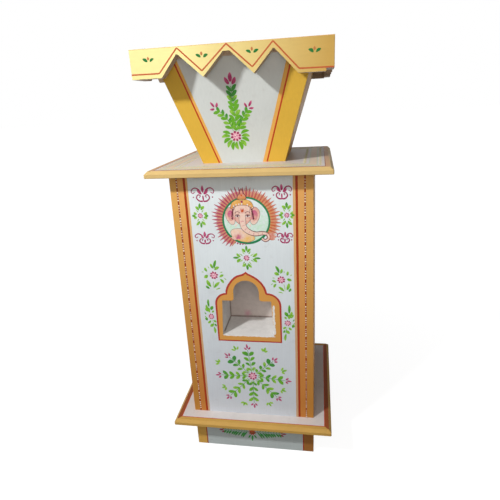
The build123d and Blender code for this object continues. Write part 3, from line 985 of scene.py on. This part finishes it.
face = {
    # outlines in millimetres from the middle of the face; the ears are drawn on both sides
    "ear": [(20, 32), (36, 37), (46, 26), (45, 8), (34, -9), (22, -6)],
    "insideEar": [(26, 25), (35, 29), (41, 19), (38, 5), (31, -1), (26, 7)],
    "cloth": [(-35, -30), (-21, -22), (1, -24), (19, -34), (31, -50), (15, -60), (-7, -62), (-27, -54)],
    "lotusAt": (-15, -50),
    "head": [
        (0, 44), (-17, 40), (-25, 24), (-22, 5), (-12, -8), (0, -13), (12, -8), (22, 5), (25, 24), (17, 40)],
    "trunk": [
        (0, 20), (-1, 0), (2, -18), (15, -31), (33, -37), (51, -35), (65, -38), (68, -49), (59, -56),
        (50, -50)],
    "crown": [
        (-31, 33), (-28, 48), (-15, 57), (0, 60), (15, 57), (27, 48), (30, 33), (15, 41), (0, 43), (-15, 41)],
    "crownTop": [(-10, 58), (-11, 67), (-5, 76), (0, 88), (5, 76), (11, 67), (10, 58)],
    "pearls": [(-29, 36), (-15, 44), (0, 46), (15, 44), (28, 36)],
    "beads": [(-31, -58), (-15, -65), (3, -65), (17, -60)],
    "fanAt": (65, -44),
}


def emblem(painting):
    # an elephant-headed figure's face on a mint disc, drawn as flat shapes with fine outlines
    def spot(x, y):
        return Vector((x, y)) + Vector(medallion["faceAt"])

    def course(points, step, closed=False):
        return smoothPath([spot(*p) for p in points], step, closed)

    def shape(points, paint, tip, level, outline=0.9, side=1):
        loop = course([(side * x, y) for x, y in points], 4, closed=True)
        painting.patch([loop], paint, tip, level)
        if outline:
            painting.line(loop, outline, "line", closed=True, level=level)

    def petals(count, first, longest, wide, paint, tip, level):
        lotus = spot(*face["lotusAt"])
        for k in range(count):
            long = longest - abs(k - count // 2)
            painting.stroke(lotus, first + 26 * k, long, wide, paint, tip, 0.8, level=level)

    at, radius = medallion["at"], medallion["radius"]
    painting.disc(at, radius, "mint", "panelWhite", level=0.08)
    ring = arc(at, radius + 1, 0, 360, 48)[:-1]
    painting.line(ring, medallion["ring"], "ringGreen", closed=True, level=0.16)
    for side in (-1, 1):
        shape(face["ear"], "flesh", "fleshDeep", 0.14, side=side)
        shape(face["insideEar"], "fleshDeep", "rose", 0.18, 0, side)
    shape(face["cloth"], "headdressLight", "flesh", 0.15)
    petals(7, 12, 23, 10, "fleshDeep", "flesh", 0.2)
    petals(5, 38, 14, 6, "rose", "fleshDeep", 0.26)
    shape(face["head"], "fleshDeep", "flesh", 0.22)
    trunk = course(face["trunk"], 4)
    painting.line(trunk, 20, "line", level=0.26, taper=0.4)
    painting.line(trunk, 18, "flesh", "fleshDeep", level=0.3, taper=0.34)
    for k in range(9):
        middle, heading = pathPlace(trunk, 0.16 + 0.085 * k)
        turn = heading + 90
        start = off(middle, turn, 0.4 * k - 6.2)
        painting.stroke(start, turn, 11.5 - 0.8 * k, 1.3, "fleshDeep", "rose", 1.0, 0.14, level=0.5)
    for side in (-1, 1):
        x = side * 14
        painting.stroke(spot(x - 6, 13), 0, 12, 5.6, "brushWhite", belly=1.0, level=0.24)
        painting.disc(spot(x, 13), 2.7, "curls", level=0.55)
        for heights, wide in (((12.5, 17, 13), 1.7), ((21, 25.5, 22), 1.4)):
            lid = course(zip((x - 7, x, x + 7), heights), 3)
            painting.line(lid, wide, "curls", level=0.5)
        tusk = spot(side * 13, -6)
        painting.stroke(tusk, side * 32 - 90, 14, 4.6, "brushWhite", "flesh", 0.8, side * 0.14, level=0.34)
        for k in range(5):
            curl = spot(side * (23 + 1.2 * k), 33 - 5.5 * k)
            turn = side * (28 - 8 * k) - 90
            painting.stroke(curl, turn, 8, 4.2, "curls", "line", 1.1, side * 0.2, level=0.34)
        painting.stroke(spot(side * 20, 4), 90 - side * 60, 9, 7, "fleshDeep", "rose", 1.0, level=0.3)
    for turn in (-14, 0, 14):
        painting.stroke(spot(turn * 0.12, 23), 90 - turn, 11, 2.4, "redLight", "red", 0.7, level=0.4)
    shape(face["crown"], "headdress", "headdressLight", 0.4)
    shape(face["crownTop"], "headdress", "fleshDeep", 0.36, 1.8)
    painting.line(course(face["pearls"], 3), 1.0, "brushWhite", level=0.6, isDotted=True)
    painting.disc(spot(0, 52), 3.0, "crimson", level=0.6)
    painting.disc(spot(0, 69), 2.6, "redLight", level=0.6)
    beads = course(face["beads"], 4)
    for k in range(8):
        painting.disc(pathPlace(beads, k / 7)[0], 2.6, "sooty" if k % 2 else "crimson", "rose", level=0.3)
    fan = spot(*face["fanAt"])
    for lean in (-26, 0, 26):
        painting.stroke(fan, lean, 24 - abs(lean) * 0.1, 11, "rayOrange", "fleshDeep", level=0.16)


def columnFrontPainting():
    painting = Painting(11)
    mandalaPainting(painting)
    nicheBand(painting)
    for motif, places in ((floral, "florals"), (bouquet, "bouquets"), (scroll, "scrolls")):
        for place in column[places]:
            motif(painting, *place)
    painting.rays.append((medallion["at"], {"Radius": (medallion["radius"] + 2.5) * mm}))
    emblem(painting)
    return painting


# pot
def potSizes():
    low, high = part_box("pot_front_wall")
    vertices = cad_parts["pot_front_wall"].data.vertices
    footHalf = max(v.co.x for v in vertices if v.co.z < low.z + 0.001)
    flare = (-low.y - footHalf) / (high.z - low.z)
    return {"bottom": low.z, "top": high.z, "footHalf": footHalf, "flare": flare, "lean": math.atan(flare)}


pot = potSizes() | {"redAt": (46.5, 49.0), "redWide": 4.0}
plume = {
    "at": (-12.5, 75),
    "stem": [(1, 12), (3, 32), (3.4, 56), (3, 82), (1.7, 106), (1, 128)],
    "budAt": (1, 131),
    "branches": [
        # side, course, and where its bud is and points
        (-1, [(-5, 14), (-16, 42), (-28, 60), (-40, 70)], (-45, 75), 128),
        (1, [(9, 14), (19, 38), (27, 54), (35, 65)], (39, 72), 62),
    ],
    "hub": 14,
}


def potLines():
    painting = Painting()
    slope = (pot["top"] - pot["bottom"]) / math.cos(pot["lean"]) / mm
    for side, inset in zip((-1, 1), pot["redAt"]):
        low = pot["footHalf"] / mm - inset
        high = low + slope * math.sin(pot["lean"])
        painting.line(steadyLine((side * low, 0.5), (side * high, slope), 8), pot["redWide"])
    return painting


def plumePainting():
    # a tall leafy stem and two side branches over a daisy with a fan of leaves
    painting = Painting(31)
    middle = Vector(plume["at"])
    stem = smoothPath([middle + Vector(p) for p in plume["stem"]], 6)
    painting.line(stem, 1.5, "leafDark")
    for k in range(9):
        spot, heading = pathPlace(stem, 0.03 + 0.107 * k)
        paint = "leafDark" if k > 5 else "leaf"
        tip = "leafDark" if k > 6 else "leaf" if k % 3 else "leafLight"
        leafPair(painting, spot, heading, 21.0 - 0.2 * k, 10.0 - 0.1 * k, 38, paint, tip, 1.15, 1.0)
    bud(painting, middle + Vector(plume["budAt"]), 89, 24, spread=30)
    for side, course, budAt, heading in plume["branches"]:
        branch = smoothPath([middle + Vector(p) for p in course], 5)
        painting.line(branch, 1.3, "leafDark")
        for k in range(5):
            spot, way = pathPlace(branch, 0.1 + 0.2 * k)
            tip = "leafLight" if k % 2 else "leaf"
            painting.stroke(spot, way - side * 50, 18.5 - 0.4 * k, 9.0, "leaf", tip, 1.2, side * 0.06)
            painting.stroke(spot, way + side * 28, 16.5 - 0.3 * k, 7.8, "leaf", "leafDark", 1.2, side * -0.05)
        bud(painting, middle + Vector(budAt), heading, 16, spread=58)
    for k in range(11):
        turn = 155 + 23 * k
        side = 1 if k > 5 else -1
        long = 24.5 - 0.3 * abs(k - 5)
        tip = "leafLight" if k % 2 else "leaf"
        painting.stroke(off(middle, turn, 15), turn - side * 9, long, 9.6, "leaf", tip, 1.0, side * 0.12)
    daisy(painting, middle, plume["hub"])
    return painting


# foot, apron and slabs
foot = {
    "half": -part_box("foot_left_board")[0].x / mm,
    "front": -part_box("foot_front_board")[0].y,
    "top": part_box("foot_front_board")[1].z / mm,
    "lineAt": 32.0,
    "garlandAt": (-6, 60),
}
apron = {
    "half": -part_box("apron_left_board")[0].x / mm,
    "frontLine": [(-236, 1145.5), (-167.3, 1145), (-119.4, 1196.8), (-64, 1145), (-3.6, 1198), (54, 1146.5),
                  (102, 1196.4), (159.2, 1136.8), (236, 1136)],
    "line": [(-236, 1142.5), (-163, 1142.5), (-105, 1197), (-52.5, 1146), (0, 1197), (52.5, 1146),
             (105, 1197), (163, 1142.5), (236, 1142.5)],
    "topLine": 1199.2,
    "motifs": [(-190.4, 1175.5), (-61.5, 1178), (54.8, 1179.6), (193.4, 1172)],
}
slabs = {
    # stops are the colours of the front and back border, then of the left and right one; on the base the left
    # and right borders carry a dark brown band, partly paint and partly painted shade
    "base": {
        "stops": ([(0, "baseGold"), (20.5, "slabWhite")],
                  [(0, "baseGold"), (8, "brownBorderAndShade"), (20.5, "slabWhite")]),
        "lineAt": 20.5,
        "lineWide": 2.2,
        "line": "red",
    },
    "top": {
        "stops": ([(0, "edgeGold"), (9.5, "borderTan"), (21, "slabWhite"), (42, "bandPeach"),
                   (60, "slabWhite")],) * 2,
        "lineAt": 21.0,
        "lineWide": 1.8,
        "line": "maroon",
        "thinLinesAt": (41.0, 61.0),
        "sprigRows": ((31, 13), (71, 12)),      # distance from the edge, and pitch
    },
}


def footLines():
    painting = Painting()
    for side in (-1, 1):
        x = side * (foot["half"] - foot["lineAt"])
        painting.line(steadyLine((x, 0.5), (x, foot["top"] - 0.5), 8), 3.8, "columnRed")
    return painting


def garlandPainting():
    # two leafy wings with a rosette between them
    painting = Painting(41)
    middle = Vector(foot["garlandAt"])
    painting.disc(middle, 8.5, "maroon", "redLight", level=0.2)
    for turn in range(0, 360, 36):
        painting.stroke(off(middle, turn, 6), turn, 7, 3.4, "maroon", "redLight", 0.8, level=0.24)
    for side in (-1, 1):
        outwards = 90 - side * 90
        wing = [middle, middle + Vector((side * 45, 3)), middle + Vector((side * 92, 1))]
        painting.line(smoothPath(wing, 6), 1.4, "leafDark")
        for k in range(9):
            start = middle + Vector((side * (15 + 8.8 * k), 2.5 - 0.02 * (k - 4) ** 2))
            leafPair(painting, start, outwards, 29 - 1.8 * k, 6.4, 54, "leafDeep", "leafDark", 1.1, 2.0)
        bud(painting, wing[-1], outwards, 15, "maroon", "crimson")
    for turn in (60, 90, 120, 240, 270, 300):
        painting.stroke(off(middle, turn, 13), turn, 15 if turn % 90 else 24, 6, "leafDeep", "leafDark", 0.8)
    return painting


def apronPainting(seed, line):
    painting = Painting(seed)
    painting.line(softCorners(line, 2.0), 3.5, "apronRed")
    half, height = apron["half"] - 2, apron["topLine"]
    painting.line(steadyLine((-half, height), (half, height), 10), 0.7, "peach", level=0.03)
    for x, y in apron["motifs"]:
        for side in (-1, 1):
            start = (x + side * 2.8, y - 4.2)
            painting.stroke(start, 90 - side * 60, 13, 6.6, "leafBottle", None, 0.95, side * 0.08)
        painting.stroke((x - 0.5, y - 0.6), 90, 8, 5.6, "budOrange", belly=1.0)
    return painting


def slabPainting(name, seed):
    painting = Painting(seed)
    look = slabs[name]
    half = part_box(name + "_slab")[1].x / mm

    def border(inset, wide, paint):
        reach = half - inset
        painting.line(steadyLine((-reach, -reach), (reach, -reach), 9), wide, paint)

    border(look["lineAt"], look["lineWide"], look["line"])
    for inset in look.get("thinLinesAt", ()):
        border(inset, 1.0, "leafPale")
    for inset, pitch in look.get("sprigRows", ()):
        count = int((half - inset) * 2 / pitch)
        for k in range(count):
            x = (k + 0.5 - count / 2) * pitch
            for lean in (-28, 28):
                painting.stroke((x, inset - half - 1), 90 + lean, 8.5, 2.6, "leafPale", "bandPeach")
            painting.stroke((x + pitch / 2, inset - half + 3), -90, 6, 2.2, "borderTan", "bandPeach")
    return painting


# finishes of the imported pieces
def finishNodes():
    columnHalf = column["half"] * mm
    board = bareBoard()
    finishes = {
        "apron": apronPaint("apronPaint"),
        "base_slab": slabPaint("base"),
        "top_slab": slabPaint("top"),
        "column_front_panel": facePaint("nichePanelPaint", columnHalf, columnBands, isPierced=True),
        "column": facePaint("columnPaint", columnHalf, plainField(columnBands)),
        "niche": nichePaint(),
        "foot_front_board": facePaint("footFrontPaint", foot["front"], footBands, 0.2),
        "foot": facePaint("footPlainPaint", foot["front"], plainField(footBands), 0.2),
        "pot_front_wall": potPaint("potFrontPaint", potBands),
        "pot": potPaint("potPlainPaint", plainField(potBands)),
        "rim": apronPaint("rimPaint", isRim=True),
        "soil_liner": galvanisedSheet(),
    }
    screws = zincScrew()
    hidden = ("batten", "cleat", "block", "pot_floor")
    for name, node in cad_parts.items():
        match = max((key for key in finishes if name.startswith(key)), key=len, default=None)
        material = finishes.get(match, board)
        if any(word in name for word in hidden):
            material = board
        if "screws" in name:
            material = screws
        node.data.materials.clear()
        node.data.materials.append(material)
    print("finished", len(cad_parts), "packed pieces")


# camera and light
view = {
    "at": (0.203835, -1.253533, 1.071586),
    "yaw": 0.1729,
    "pitch": 0.3402,
    "roll": -0.0530,
    "lens": 30.06,
    "sensor": 36.0,
}
light = {
    "aimedAt": (0.0, -0.19, 1.06),
    "towards": (-0.50, -0.69, 0.53),
    "distance": 1.75,
    "power": 112.0,
    "radius": 0.07,
    "softAt": (0.20, -1.30, 1.05),
    "softPower": 12.5,
    "softRadius": 0.35,
    "softColour": (1.0, 0.92, 0.86),
    "sky": (0.02, 0.52),            # away from the lamp, and on its side
    "floorGrey": (0.2, 0.2, 0.2, 1.0),
    "floorGlow": (0.93, 1.0),       # close to the object, and far from it
    "glowFrom": (0.5, 1.8),
    "floorReach": 30.0,
}
white = (1.0, 1.0, 1.0, 1.0)


def addCamera():
    data = bpy.data.cameras.new("camera")
    data.lens = view["lens"]
    data.sensor_width = view["sensor"]
    camera = addObject("camera", data)
    pose = Matrix.Translation(view["at"])
    for angle, axis in ((view["yaw"], "Z"), (math.pi / 2 - view["pitch"], "X"), (view["roll"], "Z")):
        pose = pose @ Matrix.Rotation(angle, 4, axis)
    camera.matrix_world = pose
    bpy.context.scene.camera = camera


def addLamp(name, place, power, radius, colour=(1.0, 1.0, 1.0)):
    data = bpy.data.lights.new(name, "POINT")
    data.energy = power
    data.color = colour
    data.shadow_soft_size = radius
    addObject(name, data).location = place


def seenDirectly(recipe):
    # 1 where the camera, a reflection or a clear material looks at it, and 0 for light
    path = recipe.make("ShaderNodeLightPath").outputs
    rays = ("Is Camera Ray", "Is Glossy Ray", "Is Transmission Ray")
    camera, glossy, clear = (Wire(recipe, path[name]) for name in rays)
    return recipe.calc("MAXIMUM", recipe.calc("MAXIMUM", camera, glossy), clear)


def addSky():
    world = bpy.data.worlds.new("sky")
    world.use_nodes = True
    world.node_tree.nodes.clear()
    recipe = Recipe(world.node_tree)
    direction = recipe.node("ShaderNodeTexCoord", out="Generated")
    lampSide = recipe.vector("DOT_PRODUCT", direction, Vector(light["towards"]).normalized(), out="Value")
    strength = recipe.mix(seenDirectly(recipe), recipe.remap(lampSide, 0.0, 1.0, *light["sky"]), white)
    background = recipe.node("ShaderNodeBackground", {"Color": white, "Strength": strength})
    recipe.make("ShaderNodeOutputWorld", {0: background})
    bpy.context.scene.world = world


def addFloor():
    reach = light["floorReach"]
    mesh = bpy.data.meshes.new("floor")
    corners = [(-reach, -reach, 0), (reach, -reach, 0), (reach, reach, 0), (-reach, reach, 0)]
    mesh.from_pydata(corners, [], [(0, 1, 2, 3)])
    floor = addObject("floor", mesh)
    material, recipe, place = newMaterial("paleFloor")
    away = recipe.vector("LENGTH", place, out="Value")
    strength = seenDirectly(recipe) * recipe.remap(away, *light["glowFrom"], *light["floorGlow"])
    glow = recipe.node("ShaderNodeEmission", {"Color": white, "Strength": strength})
    diffuse = recipe.node("ShaderNodeBsdfDiffuse", {"Color": light["floorGrey"]})
    recipe.make("ShaderNodeOutputMaterial", {0: recipe.node("ShaderNodeAddShader", {0: diffuse, 1: glow})})
    mesh.materials.append(material)


# the whole
finishNodes()
otherSides = ["right", "back", "left"]
columnFace = (column["half"] * mm,)
potFace = (pot["footHalf"], pot["bottom"], pot["lean"])
layPaintings("columnPainting", "stand", [
    (columnBandLines(), uprightFaces(sides, *columnFace)),
    (columnFrontPainting(), uprightFaces(["front"], *columnFace)),
])
layPaintings("potPainting", "stand", [
    (potLines(), uprightFaces(sides, *potFace)),
    (plumePainting(), uprightFaces(["front"], *potFace)),
])
layPaintings("footPainting", "stand", [
    (footLines(), uprightFaces(sides, foot["front"])),
    (garlandPainting(), uprightFaces(["front"], foot["front"])),
])
layPaintings("apronPainting", "stand", [
    (apronPainting(53, apron["frontLine"]), uprightFaces(["front"], apron["half"] * mm)),
    (apronPainting(59, apron["line"]), uprightFaces(otherSides, apron["half"] * mm)),
])
layPaintings("slabPainting", "stand", [
    (slabPainting("base", 61), slabTop("base")),
    (slabPainting("top", 67), slabTop("top")),
])

addCamera()
lampPlace = Vector(light["aimedAt"]) + Vector(light["towards"]).normalized() * light["distance"]
addLamp("lamp", lampPlace, light["power"], light["radius"])
addLamp("softLamp", light["softAt"], light["softPower"], light["softRadius"], light["softColour"])
addSky()
addFloor()
bpy.context.scene.view_settings.view_transform = "Standard"
